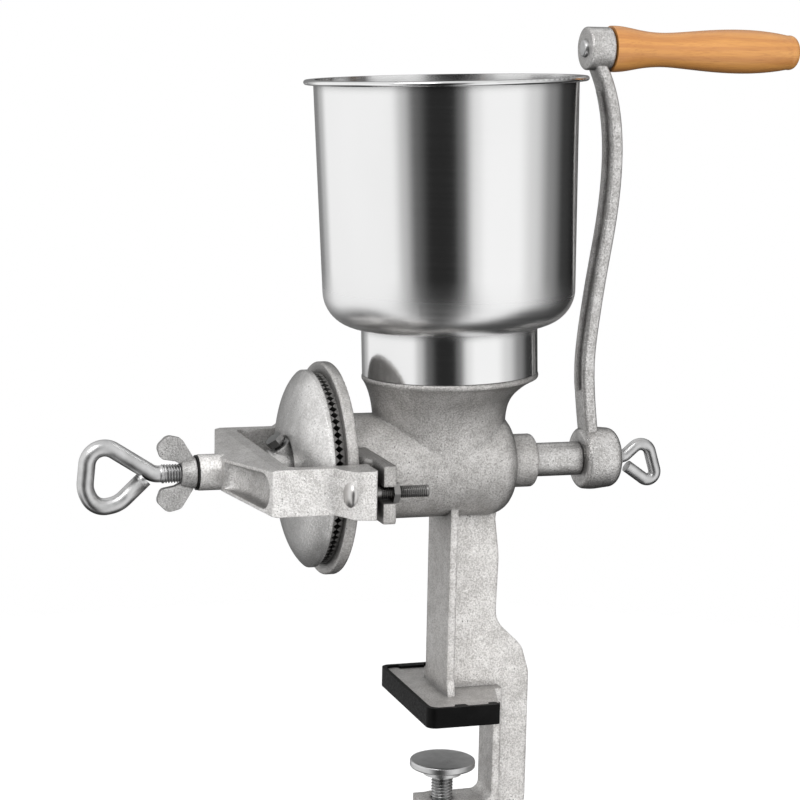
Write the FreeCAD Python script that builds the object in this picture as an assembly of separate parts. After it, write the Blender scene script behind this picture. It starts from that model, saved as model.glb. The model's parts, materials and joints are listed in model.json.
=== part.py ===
"""Hand-cranked burr mill with a tall hopper, clamped over a table edge.

Millimetres. +X runs along the feed shaft towards the crank and +Z is up. The origin is the middle of the
foot's sole, where it rests on the table. Each function under a heading below makes one piece of the mill,
and write_parts() gives each piece its own file.
"""

import FreeCAD, Part
import math
import os

Vector = FreeCAD.Vector
X_AXIS = Vector(1, 0, 0)
Y_AXIS = Vector(0, 1, 0)
Z_AXIS = Vector(0, 0, 1)

# Clearances, each side.
RUNNING = 0.06  # a shaft that turns in a hole
THREAD = 0.05  # a screw in its tapped hole, both drawn plain
TOUCH = 0.03  # end play between a ball and what it pushes on
LOOSE = 0.4  # a clearance hole, or a collar that lifts off
PLATE_PLAY = 0.25  # a grinding plate in its seat
PAST = 1.0  # how far a cut runs past the face it opens

# Shaft line.
AXIS_Z = 134.0

# Body casting, round the shaft line.
FACE_X = -73.3
FLANGE_T = 6.0
FLANGE_LIP = 5.6
BORE_R = 23.0
BARREL_WALL = 5.5
BARREL_END_X = 32.0
BARREL_END_WALL = 6.0
BARREL_END_ROUND = 12.0
JOURNAL_R = 9.2
REAR_BOSS_WALL = 5.3
REAR_BOSS_LENGTH = 14.5

# Throat on top of the barrel. Heights are above the shaft line, before it leans.
HOPPER_X = -1.5
SPIGOT_R = 45.9
SPIGOT_WALL = 3.4
SPIGOT_LENGTH = 12.0
BEAD_TOP = 50.0
BEAD_T = 3.6
BEAD_PROUD = 1.5
THROAT_SHIFT = -6.5
HOPPER_LEAN = 2.2  # degrees, away from the crank
THROAT_HALF_X = 36.0
THROAT_HALF_Y = 27.4
THROAT_WALL = 4.8

# Leg and foot.
LEG_X = -5.0
LEG_FLANGE_T = 4.2
LEG_FLANGE_HALF = 18.0
WEB_T = 7.2
WEB_BACK_X = 27.0
SOLE_T = 3.5
FOOT_T = 6.0
FOOT_LEFT_X = -21.3
FOOT_HALF = 41.8
FOOT_CORNER_X = 16.5
FOOT_TAIL_HALF = 13.0
BOOT_WALL = 2.2
BOOT_TAB_T = 1.4
BOOT_TAB_REACH = 3.0
# (side, first X, last X) of each tab
BOOT_TABS = [(-1, -8.5, -0.5), (-1, 10.5, FOOT_CORNER_X), (1, -14.0, 2.0), (1, 10.5, FOOT_CORNER_X)]

# Clamp frame under the table.
SPINE_X = 25.0
SPINE_DEPTH = 22.5
SPINE_FLANGE_HALF = 11.0
SPINE_FLANGE_T = 4.5
JAW_Z = -54.0
JAW_DEPTH = 20.0
CLAMP_BOSS_WALL = 6.5

# Slotted ears and the bolts through them.
EAR_X = -61.5
EAR_T = 6.5
EAR_HALF = 14.7
EAR_OUT = 78.0
GUSSET_T = 4.0
BOLT_Y = 70.0
BOLT_R = 3.15
BOLT_HEAD_R = 6.9
BOLT_HEAD_T = 4.6
BOLT_HEAD_ROOM = 0.9
BOLT_PROUD = 16.2
NUT_AF = 10.0
NUT_T = 3.2
SLOT_PLAY = 1.25

# Grinding plates and the carrier that turns one of them.
PLATE_R = 50.6
PLATE_HOLE_R = 16.0
PLATE_T = 5.0
PLATE_SEAT = 2.4
GRIND_GAP = 0.5
TOOTH_COUNT = 84
TOOTH_DEPTH = 1.9
COARSE_COUNT = 16
COARSE_DEPTH = 2.3
COARSE_OUT_R = 34.0
PLATE_SCREW_R = 2.0
PLATE_SCREW_HEAD_R = 4.0
PLATE_SCREW_CONE = 2.0
PLATE_SCREW_SUNK = 2.3
PLATE_SCREW_CIRCLE = 40.0
CARRIER_LIP = 1.45
CARRIER_RIM_T = 3.5
CARRIER_RISE = 9.0
CARRIER_HUB_LENGTH = 10.5
CARRIER_HUB_WALL = 4.0
CARRIER_GROOVE = 4.0
SET_SCREW_R = 2.9
SET_SCREW_TILT = 38.0
SET_SCREW_FOOT = 6.0
SET_SCREW_BOSS_R = 6.4
SET_SCREW_SEAT = 15.9
SET_SCREW_SHOW = 1.6
SET_SCREW_HEAD_AF = 9.0
SET_SCREW_HEAD_T = 4.0
SET_SCREW_BITE = 0.9

# Feed screw, in one piece with its shaft.
FEED_PLAY = 0.7
FEED_CORE_R = 8.0
FEED_PITCH = 30.0
FLIGHT_LENGTH = 85.0
FLIGHT_TIP_T = 4.0
FLIGHT_ROOT_T = 6.8
FLIGHT_START = 8.3
SHAFT_FRONT_R = 6.45
SHAFT_FRONT_PROUD = 0.5
SHAFT_COLLAR = 2.0
SHAFT_SHOW = 27.7
SHAFT_END_R = 6.95
SHAFT_END_FLAT = 5.2
BALL_R = 4.75
BALL_SUNK = 3.1

# Yoke, and the adjusting screw through its boss.
YOKE_STANDOFF = 4.0
YOKE_HALF = 64.0
YOKE_ARM_T = 6.5
YOKE_MID_T = 22.5
YOKE_END_T = 7.0
YOKE_MID_HALF = 8.6
YOKE_ARM_HALF = 12.0
YOKE_BOSS_LENGTH = 11.4
YOKE_BOSS_WALL = 4.5
YOKE_FLANGE_PLAY = 1.3
LUG_T = 9.0
LUG_GAP = 3.0
ADJUST_R = 4.95
ADJUST_THREAD_OUT = 18.6
ADJUST_ROD_R = 4.4
LOCK_WASHER_R = 9.2
LOCK_WASHER_T = 0.9
WING_NUT_WALL = 3.4
WING_NUT_T = 8.0
WING_T = 3.8

# Crank.
CRANK_HUB_LENGTH = 21.3
CRANK_HUB_R = 17.4
CRANK_HUB_FACE_T = 3.8
THROW = 222.5
CRANK_BOSS_SET = -3.7
CRANK_BOSS_LENGTH = 13.8
CRANK_BOSS_R = 11.5
ARM_T = 7.2
ARM_WIDTH = 14.0
ARM_RIB_WIDTH = 3.6
ARM_RIB_PROUD = 1.7
# (X from the hub's face, height above the shaft line) along the middle of the arm
ARM_LINE = [
    (6.4, 8),
    (2.8, 38),
    (2.2, 55),
    (4.0, 76),
    (7.5, 102),
    (11.4, 127),
    (14.0, 157),
    (13.3, 179),
    (9.2, 200),
    (2.3, 216),
]
THUMB_R = 3.95
THUMB_ROD_R = 3.4
THUMB_DEPTH = 20.0
THUMB_COLLAR_R = 5.4
THUMB_WASHER_R = 8.5
THUMB_WASHER_T = 1.5

# Grip.
GRIP_BOLT_R = 4.0
GRIP_BOLT_HEAD_R = 5.6
GRIP_BOLT_HEAD_T = 3.2
GRIP_RIVET_R = 4.9
GRIP_RIVET_PROUD = 1.7
GRIP_GAP = 0.5
GRIP_LENGTH = 109.5
GRIP_RECESS = 7.0
GRIP_RECESS_R = 6.7
GRIP_WASHER_R = 6.2
GRIP_WASHER_T = 1.0
# (share of the length, radius) along the grip
GRIP_LINE = [
    (0, 12.3),
    (0.07, 11.9),
    (0.16, 10.2),
    (0.27, 9.2),
    (0.40, 10.0),
    (0.56, 11.4),
    (0.74, 11.8),
    (0.87, 10.8),
    (0.96, 9.3),
]

# Clamp screw and its pad.
CLAMP_SCREW_R = 5.95
CLAMP_ROD_R = 4.3
CLAMP_OPENING = 32.0
CLAMP_THREAD_LOW = 42.0
PAD_R = 18.0
PAD_DISC_T = 4.0
PAD_T = 8.0
PAD_COLLAR_WALL = 4.5
PAD_SOCKET = 5.0

# Hopper. Heights are above the shaft line.
SHEET = 0.8
SHOULDER_Z = 75.5
SHOULDER_ROUND = 19.0
WALL_LOW_R = 67.3
WALL_TOP_R = 69.9
RIM_Z = 206.0
RIM_R = 75.0
RIM_BEAD_R = 1.3

# Worked out from the sizes above.
BARREL_R = BORE_R + BARREL_WALL
FLANGE_R = PLATE_R + PLATE_PLAY + FLANGE_LIP
FLANGE_BACK_X = FACE_X + FLANGE_T
BORE_END_X = BARREL_END_X - BARREL_END_WALL
REAR_BOSS_R = JOURNAL_R + REAR_BOSS_WALL
REAR_BOSS_END_X = BARREL_END_X + REAR_BOSS_LENGTH
SPIGOT_INNER_R = SPIGOT_R - SPIGOT_WALL
SPIGOT_TOP = BEAD_TOP + SPIGOT_LENGTH
BEAD_R = SPIGOT_R + BEAD_PROUD
MOUTH_Z = BEAD_TOP - BEAD_T + 0.4
FOOT_TOP = SOLE_T + FOOT_T
SPINE_OUT_X = SPINE_X + SPINE_DEPTH
JAW_BOTTOM_Z = JAW_Z - JAW_DEPTH
EAR_BACK_X = EAR_X + EAR_T
FIXED_PLATE_BACK_X = FACE_X + PLATE_SEAT
FIXED_TIPS_X = FIXED_PLATE_BACK_X - PLATE_T
TURNING_TIPS_X = FIXED_TIPS_X - GRIND_GAP
TURNING_PLATE_BACK_X = TURNING_TIPS_X - PLATE_T
CARRIER_R = PLATE_R + PLATE_PLAY + CARRIER_LIP
CARRIER_BACK_X = TURNING_PLATE_BACK_X + PLATE_SEAT
CARRIER_RIM_X = CARRIER_BACK_X - CARRIER_RIM_T
CARRIER_DOME_X = CARRIER_RIM_X - CARRIER_RISE
CARRIER_HUB_R = SHAFT_FRONT_R + THREAD + CARRIER_HUB_WALL
CARRIER_HUB_X = CARRIER_DOME_X - CARRIER_HUB_LENGTH
SET_SCREW_X = CARRIER_DOME_X + SET_SCREW_FOOT
FEED_R = BORE_R - FEED_PLAY
FLIGHT_X = FACE_X + FLIGHT_START
SHAFT_FRONT_X = CARRIER_HUB_X + SHAFT_FRONT_PROUD
BALL_X = SHAFT_FRONT_X - BALL_SUNK
CRANK_X = REAR_BOSS_END_X + SHAFT_SHOW
YOKE_INNER_X = SHAFT_FRONT_X - YOKE_STANDOFF
YOKE_FRONT_X = YOKE_INNER_X - YOKE_MID_T
YOKE_BOSS_R = ADJUST_R + THREAD + YOKE_BOSS_WALL
YOKE_BOSS_X = YOKE_FRONT_X - YOKE_BOSS_LENGTH
LUG_BACK_X = EAR_X - LUG_GAP
LUG_FRONT_X = LUG_BACK_X - LUG_T
CRANK_FACE_X = CRANK_X + CRANK_HUB_LENGTH
SHAFT_END_X = CRANK_FACE_X - CRANK_HUB_FACE_T - 0.5
THUMB_FACE_X = CRANK_FACE_X + THUMB_WASHER_T
THUMB_TIP_X = SHAFT_END_X - THUMB_DEPTH
CRANK_BOSS_X = CRANK_X + CRANK_BOSS_SET
GRIP_X = CRANK_BOSS_X + CRANK_BOSS_LENGTH + GRIP_GAP
GRIP_END_X = GRIP_X + GRIP_LENGTH
GRIP_WASHER_X = GRIP_END_X - GRIP_RECESS + 0.3
PAD_Z = -CLAMP_OPENING
PAD_BOTTOM_Z = PAD_Z - PAD_T
NECK_R = SPIGOT_R + LOOSE + SHEET


# ---- Drawing helpers ----


def on_xz(u, v):
    """A point on the mill's middle plane, with v measured up from the sole."""
    return Vector(u, 0, v)


def on_axis(u, v):
    """A point on the middle plane, with v measured up from the shaft line."""
    return Vector(u, 0, AXIS_Z + v)


def on_xy(u, v):
    return Vector(u, v, 0)


def on_yz(u, v):
    """A point on the plane across the shaft, with v measured up from the shaft line."""
    return Vector(0, u, AXIS_Z + v)


def corner(before, here, after, radius):
    """The start, the middle and the end of an arc that rounds a corner."""
    back = (before - here).normalize()
    on = (after - here).normalize()
    half = back.getAngle(on) / 2
    start = here + back * (radius / math.tan(half))
    end = here + on * (radius / math.tan(half))
    middle = here + (back + on).normalize() * (radius / math.sin(half) - radius)
    return start, middle, end


def outline(points, place, closed=True):
    """A wire of lines through (u, v) points; a third value rounds that corner."""
    spots = [place(p[0], p[1]) for p in points]
    count = len(spots)
    stops = []
    for i, point in enumerate(points):
        if len(point) > 2:
            stops.append(corner(spots[i - 1], spots[i], spots[(i + 1) % count], point[2]))
        else:
            stops.append((spots[i], None, spots[i]))
    edges = []
    for i, (start, middle, end) in enumerate(stops):
        if middle is not None:
            edges.append(Part.Arc(start, middle, end).toShape())
        following = stops[(i + 1) % count][0]
        if (closed or i < count - 1) and end.distanceToPoint(following) > 1e-6:
            edges.append(Part.makeLine(end, following))
    return Part.Wire(edges)


def prism(points, place, direction, low, high):
    """An outline pushed along an axis from low to high."""
    face = Part.Face(outline(points, place))
    face.translate(direction * low)
    return face.extrude(direction * (high - low))


def turned(points):
    """A profile of (x, radius) points turned round the shaft line."""
    return Part.Face(outline(points, on_axis)).revolve(on_axis(0, 0), X_AXIS, 360)


def rod_x(x_from, x_to, radius, y=0.0, z=AXIS_Z):
    """A cylinder along X."""
    return Part.makeCylinder(radius, x_to - x_from, Vector(x_from, y, z), X_AXIS)


def rod_z(z_from, z_to, radius, x=0.0):
    """A cylinder along Z."""
    return Part.makeCylinder(radius, z_to - z_from, Vector(x, 0, z_from), Z_AXIS)


def hexagon_x(x_from, length, across_flats, y, z=AXIS_Z):
    """A hexagonal bar along X with two corners level."""
    radius = across_flats / math.sqrt(3)
    corners = []
    for degrees in range(0, 360, 60):
        angle = math.radians(degrees)
        corners.append(Vector(x_from, y + radius * math.cos(angle), z + radius * math.sin(angle)))
    return Part.Face(Part.makePolygon(corners + corners[:1])).extrude(X_AXIS * length)


def spline(points):
    curve = Part.BSplineCurve()
    curve.interpolate(points)
    return curve.toShape()


def bent_rod(points, place, radius):
    """A round rod along a line of (u, v, bend radius) points."""
    path = outline(points, place, closed=False)
    first = path.Edges[0]
    ring = Part.makeCircle(radius, first.firstVertex().Point, first.tangentAt(first.FirstParameter))
    return path.makePipeShell([Part.Wire(ring)], True, True)


def rounded(shape, radius, curve_type):
    """The shape with its edges of one kind of curve rounded."""
    return shape.makeFillet(radius, [e for e in shape.Edges if e.Curve.TypeId == curve_type])


def around(shape, count):
    """Copies of a shape round the X axis."""
    copies = []
    for i in range(count):
        copy = shape.copy()
        copy.rotate(Vector(0, 0, 0), X_AXIS, 360.0 * i / count)
        copies.append(copy)
    return copies


def mirrored(shape):
    """The shape's twin on the other side of the shaft."""
    return shape.mirror(Vector(0, 0, 0), Y_AXIS)


def leaned(shape):
    """The shape turned with the hopper's lean, about the middle of the throat's lip."""
    shape.rotate(Vector(HOPPER_X, 0, AXIS_Z + BEAD_TOP), Y_AXIS, -HOPPER_LEAN)
    return shape


def one(shape):
    """The single solid in a result."""
    shape = shape.removeSplitter()
    assert len(shape.Solids) == 1, len(shape.Solids)
    return shape.Solids[0]


# ---- Body casting ----


def barrel():
    return turned(
        [
            (FACE_X, 0),
            (FACE_X, FLANGE_R, 1.0),
            (FLANGE_BACK_X, FLANGE_R, 1.6),
            (FLANGE_BACK_X, BARREL_R, 6.0),
            (BARREL_END_X, BARREL_R, BARREL_END_ROUND),
            (BARREL_END_X, REAR_BOSS_R, 1.0),
            (REAR_BOSS_END_X, REAR_BOSS_R, 1.8),
            (REAR_BOSS_END_X, 0),
        ]
    )


def throat_loft(mouth_r, half_x, half_y):
    """A funnel from a round mouth down to an oval on the shaft line."""
    # (share of the mouth's height, share of the way to the oval along X, and along Y)
    blend = [
        (1.0, 0, 0),
        (0.95, 0.27, 0.16),
        (0.875, 0.56, 0.34),
        (0.77, 0.80, 0.58),
        (0.64, 0.93, 0.79),
        (0.47, 0.98, 0.93),
        (0, 1, 1),
    ]
    rings = []
    for height, share_x, share_y in blend:
        centre = Vector(HOPPER_X + THROAT_SHIFT * share_x, 0, AXIS_Z + MOUTH_Z * height)
        along_x = mouth_r + (half_x - mouth_r) * share_x
        along_y = mouth_r + (half_y - mouth_r) * share_y
        oval = Part.Ellipse(centre, along_x, along_y) if share_x else Part.Circle(centre, Z_AXIS, mouth_r)
        rings.append(Part.Wire(oval.toShape()))
    return Part.makeLoft(rings, True)


def throat():
    """The flared throat, its lip bead, and the spigot that the hopper drops over."""
    bead_low = AXIS_Z + BEAD_TOP - BEAD_T
    bead = rod_z(bead_low, AXIS_Z + BEAD_TOP, BEAD_R, HOPPER_X)
    bead = rounded(bead, BEAD_T / 2 - 0.3, "Part::GeomCircle")
    spigot = rod_z(bead_low - 1, AXIS_Z + SPIGOT_TOP, SPIGOT_INNER_R + 1, HOPPER_X)
    collar = rod_z(bead_low + 1, AXIS_Z + SPIGOT_TOP, SPIGOT_R, HOPPER_X)
    outside = throat_loft(BEAD_R - 0.5, THROAT_HALF_X, THROAT_HALF_Y)
    return leaned(outside.fuse([bead, spigot, collar]))


def throat_bore():
    """The way down from the hopper to the feed screw."""
    mouth_z = AXIS_Z + MOUTH_Z - 0.1
    mouth = rod_z(mouth_z, AXIS_Z + SPIGOT_TOP + PAST, SPIGOT_INNER_R, HOPPER_X)
    funnel = throat_loft(SPIGOT_INNER_R, THROAT_HALF_X - THROAT_WALL, THROAT_HALF_Y - THROAT_WALL)
    return [leaned(mouth), leaned(funnel)]


def leg_web():
    """The upright plate behind the leg's flange, which sweeps past the table edge and down as the spine."""
    shaft_side = AXIS_Z - 0.7 * BARREL_R
    inside_x = SPINE_X + 1
    points = [
        (LEG_X + 1, FOOT_TOP - 3),
        (LEG_X + 1, shaft_side),
        (BARREL_END_X - 5, shaft_side),
        (WEB_BACK_X - 1.4, AXIS_Z - BARREL_R - 2.5, 8),
        (WEB_BACK_X + 1.2, AXIS_Z - 52, 40),
        (WEB_BACK_X + 0.2, FOOT_TOP + 36.5, 14),
        (SPINE_OUT_X - 4.5, FOOT_TOP + 21.5, 12),
        (SPINE_OUT_X, FOOT_TOP + 6.5, 12),
        (SPINE_OUT_X, JAW_Z - 8, 15),
        (SPINE_OUT_X - 11.5, JAW_BOTTOM_Z + 2, 20),
        (10, JAW_BOTTOM_Z + 2),
        (-9, JAW_Z - 12),
        (-9, JAW_Z - 1),
        (inside_x, JAW_Z - 1),
        (inside_x, FOOT_TOP - 3),
    ]
    return prism(points, on_xz, Y_AXIS, -WEB_T / 2, WEB_T / 2)


def clamp_flanges():
    """The broad inner faces of the spine and of the lower jaw."""
    spine_back_x = SPINE_X + SPINE_FLANGE_T
    points = [
        (SPINE_X, FOOT_TOP - 2),
        (SPINE_X, JAW_Z, 5),
        (-13, JAW_Z),
        (-13, JAW_Z - SPINE_FLANGE_T),
        (spine_back_x, JAW_Z - SPINE_FLANGE_T, 5),
        (spine_back_x, FOOT_TOP - 2),
    ]
    return prism(points, on_xz, Y_AXIS, -SPINE_FLANGE_HALF, SPINE_FLANGE_HALF)


def foot_outline(grow):
    """Plan of the foot plate, with its corners cut back towards the spine."""
    left = FOOT_LEFT_X - grow
    half = FOOT_HALF + grow
    tail_x = SPINE_X - 0.2
    return [
        (left, -half, 5),
        (FOOT_CORNER_X, -half, 2),
        (tail_x, -FOOT_TAIL_HALF),
        (tail_x, FOOT_TAIL_HALF),
        (FOOT_CORNER_X, half, 2),
        (left, half, 5),
    ]


def foot_plate():
    tail = [
        (LEG_X, -FOOT_TAIL_HALF),
        (SPINE_X + SPINE_FLANGE_T, -SPINE_FLANGE_HALF),
        (SPINE_X + SPINE_FLANGE_T, SPINE_FLANGE_HALF),
        (LEG_X, FOOT_TAIL_HALF),
    ]
    plate = prism(foot_outline(0), on_xy, Z_AXIS, SOLE_T, FOOT_TOP)
    return plate.fuse(prism(tail, on_xy, Z_AXIS, SOLE_T, FOOT_TOP))


def leg_flange():
    """The leg's broad face, which flares into the foot and into the barrel."""
    half = LEG_FLANGE_HALF
    low = FOOT_TOP - AXIS_Z
    high = -BARREL_R * 0.42
    face = [
        (-half - 2.5, low - 0.5),
        (-half, low + 8, 10),
        (-half - 0.6, high - 12),
        (-half, high),
        (half, high),
        (half + 0.6, high - 12),
        (half, low + 8, 10),
        (half + 2.5, low - 0.5),
    ]
    return prism(face, on_yz, X_AXIS, LEG_X, LEG_X + LEG_FLANGE_T)


def ear():
    """A slotted ear with a gusset above and below, on the +Y side."""
    inside_y = BORE_R + 1
    slab_face = [
        (inside_y, -EAR_HALF),
        (EAR_OUT, -EAR_HALF, 2),
        (EAR_OUT, EAR_HALF, 2),
        (inside_y, EAR_HALF),
    ]
    slab = prism(slab_face, on_yz, X_AXIS, EAR_X, EAR_BACK_X)
    gusset_plan = [
        (FLANGE_BACK_X - 1, inside_y),
        (FLANGE_BACK_X - 1, FLANGE_R * 0.86),
        (EAR_X, FLANGE_R + 1.2, 4),
        (EAR_X, EAR_OUT, 1),
        (EAR_BACK_X, EAR_OUT, 1),
        (EAR_BACK_X, inside_y),
    ]
    top = prism(gusset_plan, on_xy, Z_AXIS, AXIS_Z + EAR_HALF - GUSSET_T, AXIS_Z + EAR_HALF)
    bottom = prism(gusset_plan, on_xy, Z_AXIS, AXIS_Z - EAR_HALF, AXIS_Z - EAR_HALF + GUSSET_T)
    slot_half = BOLT_R + SLOT_PLAY
    slot_end = slot_half - 0.2
    slot_face = [
        (BOLT_Y - slot_half, -slot_half, slot_end),
        (EAR_OUT + PAST, -slot_half),
        (EAR_OUT + PAST, slot_half),
        (BOLT_Y - slot_half, slot_half, slot_end),
    ]
    slot = prism(slot_face, on_yz, X_AXIS, EAR_X - PAST, EAR_BACK_X + PAST)
    return slab.fuse([top, bottom]).cut(slot)


def mill_body():
    solids = [
        throat(),
        leg_web(),
        leg_flange(),
        foot_plate(),
        clamp_flanges(),
        ear(),
        mirrored(ear()),
        rod_z(JAW_BOTTOM_Z, JAW_Z, CLAMP_SCREW_R + THREAD + CLAMP_BOSS_WALL),
    ]
    hollows = [
        rod_x(FACE_X - PAST, BORE_END_X, BORE_R),
        rod_x(BORE_END_X - PAST, REAR_BOSS_END_X + PAST, JOURNAL_R + RUNNING),
        rod_x(FACE_X - PAST, FIXED_PLATE_BACK_X, PLATE_R + PLATE_PLAY),
        rod_z(JAW_BOTTOM_Z - PAST, JAW_Z + PAST, CLAMP_SCREW_R + THREAD),
    ]
    hollows += throat_bore()
    for y, z in plate_screw_places():
        hollows.append(rod_x(FACE_X, FLANGE_BACK_X + PAST, PLATE_SCREW_R + THREAD, y, z))
    return one(barrel().fuse(solids).cut(hollows))


def foot_boot():
    """A rubber boot round three sides of the foot, with tabs that hook over it."""
    boot_top = FOOT_TOP + BOOT_TAB_T
    open_side = [
        (FOOT_CORNER_X + 1, -FOOT_HALF),
        (SPINE_OUT_X, -FOOT_HALF),
        (SPINE_OUT_X, FOOT_HALF),
        (FOOT_CORNER_X + 1, FOOT_HALF),
    ]
    boot = prism(foot_outline(BOOT_WALL), on_xy, Z_AXIS, 0, boot_top)
    boot = boot.cut(prism(foot_outline(0), on_xy, Z_AXIS, SOLE_T, boot_top + PAST))
    boot = boot.cut(prism(open_side, on_xy, Z_AXIS, SOLE_T, boot_top + PAST))
    tabs = []
    for side, x_from, x_to in BOOT_TABS:
        y_wall = side * (FOOT_HALF + 0.5)
        y_tip = side * (FOOT_HALF - BOOT_TAB_REACH)
        tab = [(x_from, y_wall), (x_from + 1, y_tip, 1), (x_to - 1, y_tip, 1), (x_to, y_wall)]
        tabs.append(prism(tab, on_xy, Z_AXIS, FOOT_TOP, boot_top))
    return one(boot.fuse(tabs))


# ---- Hopper ----


def hopper_skin(inset, past):
    """The hopper's form with its wall moved inwards by inset, run past its open ends."""
    foot = BEAD_TOP - past
    top = RIM_Z + past
    shoulder_r = NECK_R + 1.0
    wall_low = SHOULDER_Z + SHOULDER_ROUND
    reach = WALL_LOW_R - shoulder_r - inset
    rise = SHOULDER_ROUND - inset
    half = math.sqrt(0.5)
    spots = [
        on_xz(0, foot),
        on_xz(NECK_R - inset, foot),
        on_xz(NECK_R - inset, SHOULDER_Z + inset),
        on_xz(shoulder_r, SHOULDER_Z + inset),
        on_xz(WALL_LOW_R - inset, wall_low),
        on_xz(WALL_TOP_R - inset, top),
        on_xz(0, top),
    ]
    edges = [Part.makeLine(spots[i], spots[(i + 1) % len(spots)]) for i in range(len(spots)) if i != 3]
    bulge = on_xz(shoulder_r + reach * half, wall_low - rise * half)
    edges.insert(3, Part.Arc(spots[3], bulge, spots[4]).toShape())
    return Part.Face(Part.Wire(edges)).revolve(Vector(0, 0, 0), Z_AXIS, 360)


def hopper():
    """A spun sheet hopper with a flared, beaded rim, whose neck drops over the throat's spigot."""
    bead_r = RIM_R - RIM_BEAD_R
    brim = Part.makeCylinder(bead_r, SHEET, Vector(0, 0, RIM_Z - SHEET))
    bead = Part.makeTorus(bead_r, RIM_BEAD_R, Vector(0, 0, RIM_Z - RIM_BEAD_R), Z_AXIS)
    shell = hopper_skin(0, 0).fuse([brim, bead]).cut(hopper_skin(SHEET, PAST))
    shell.translate(Vector(HOPPER_X, 0, AXIS_Z))
    return one(leaned(shell))


# ---- Grinding plates and what holds them ----


def plate_screw_places():
    """(y, z) of each of the three plate screws."""
    places = []
    for degrees in (90, 210, 330):
        angle = math.radians(degrees)
        y = PLATE_SCREW_CIRCLE * math.cos(angle)
        places.append((y, AXIS_Z + PLATE_SCREW_CIRCLE * math.sin(angle)))
    return places


def groove(inner_r, outer_r, half_width, depth):
    """A V-groove that widens and deepens from inner_r out to outer_r, cut into the face x = 0."""
    ends = []
    for radius in (inner_r, outer_r):
        share = radius / outer_r
        side = 1.1 * half_width * share
        ring = [Vector(-0.2, -side, radius), Vector(depth * share, 0, radius), Vector(-0.2, side, radius)]
        ends.append(Part.makePolygon(ring + ring[:1]))
    return Part.makeLoft(ends, True, True)


def burr_plate():
    """A toothed grinding ring with its teeth towards -X, from x = 0 back to x = PLATE_T."""
    disc = Part.makeCylinder(PLATE_R, PLATE_T, Vector(0, 0, 0), X_AXIS)
    cuts = [Part.makeCylinder(PLATE_HOLE_R, PLATE_T + 2 * PAST, Vector(-PAST, 0, 0), X_AXIS)]
    fine_half = 0.94 * math.pi * PLATE_R / TOOTH_COUNT
    coarse_half = 0.7 * math.pi * COARSE_OUT_R / COARSE_COUNT
    cuts += around(groove(COARSE_OUT_R - 1, PLATE_R + 0.5, fine_half, TOOTH_DEPTH), TOOTH_COUNT)
    cuts += around(groove(PLATE_HOLE_R - 1, COARSE_OUT_R + 1, coarse_half, COARSE_DEPTH), COARSE_COUNT)
    sunk = PLATE_SCREW_SUNK
    hole_r = PLATE_SCREW_R + 0.1
    head_r = PLATE_SCREW_HEAD_R + 0.1
    for y, z in plate_screw_places():
        foot = Vector(sunk, y, z - AXIS_Z)
        cuts.append(Part.makeCylinder(hole_r, PLATE_T, foot, X_AXIS))
        cuts.append(Part.makeCone(head_r, hole_r, PLATE_SCREW_CONE, foot, X_AXIS))
        cuts.append(Part.makeCylinder(head_r, sunk + PAST, foot, X_AXIS * -1))
    return one(disc.cut(cuts))


def fixed_plate():
    plate = burr_plate()
    plate.translate(Vector(FIXED_TIPS_X, 0, AXIS_Z))
    return plate


def turning_plate():
    plate = burr_plate()
    plate.rotate(Vector(0, 0, 0), Z_AXIS, 180)
    plate.translate(Vector(TURNING_TIPS_X, 0, AXIS_Z))
    return plate


def plate_screw(length):
    """A countersunk screw along +X whose head's top is at x = 0."""
    head = Part.makeCone(PLATE_SCREW_HEAD_R, PLATE_SCREW_R, PLATE_SCREW_CONE, Vector(0, 0, 0), X_AXIS)
    slot = Part.makeBox(0.7, 1.0, 2.5 * PLATE_SCREW_HEAD_R, Vector(0, -0.5, -1.25 * PLATE_SCREW_HEAD_R))
    return head.fuse(Part.makeCylinder(PLATE_SCREW_R, length, Vector(0, 0, 0), X_AXIS)).cut(slot)


def fixed_plate_screws():
    head_x = FIXED_TIPS_X + PLATE_SCREW_SUNK
    screws = []
    for y, z in plate_screw_places():
        screw = plate_screw(FLANGE_BACK_X - head_x)
        screw.translate(Vector(head_x, y, z))
        screws.append(screw)
    return Part.makeCompound(screws)


def turning_plate_screws():
    head_x = TURNING_TIPS_X - PLATE_SCREW_SUNK
    screws = []
    for y, z in plate_screw_places():
        screw = plate_screw(head_x - CARRIER_RIM_X)
        screw.rotate(Vector(0, 0, 0), Z_AXIS, 180)
        screw.translate(Vector(head_x, -y, z))
        screws.append(screw)
    return Part.makeCompound(screws)


def set_screw_way():
    """The way the hub's screw points, up and away from the dome."""
    tilt = math.radians(SET_SCREW_TILT)
    return Vector(-math.sin(tilt), 0, math.cos(tilt))


def set_screw_at(distance):
    """The point on the hub screw's line at a distance from the shaft line."""
    return Vector(SET_SCREW_X, 0, AXIS_Z) + set_screw_way() * distance


def set_screw_tip():
    """How far from the shaft line, along the screw, its tip stops in the shaft's dimple."""
    return (SHAFT_FRONT_R - SET_SCREW_BITE) / math.cos(math.radians(SET_SCREW_TILT))


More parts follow.
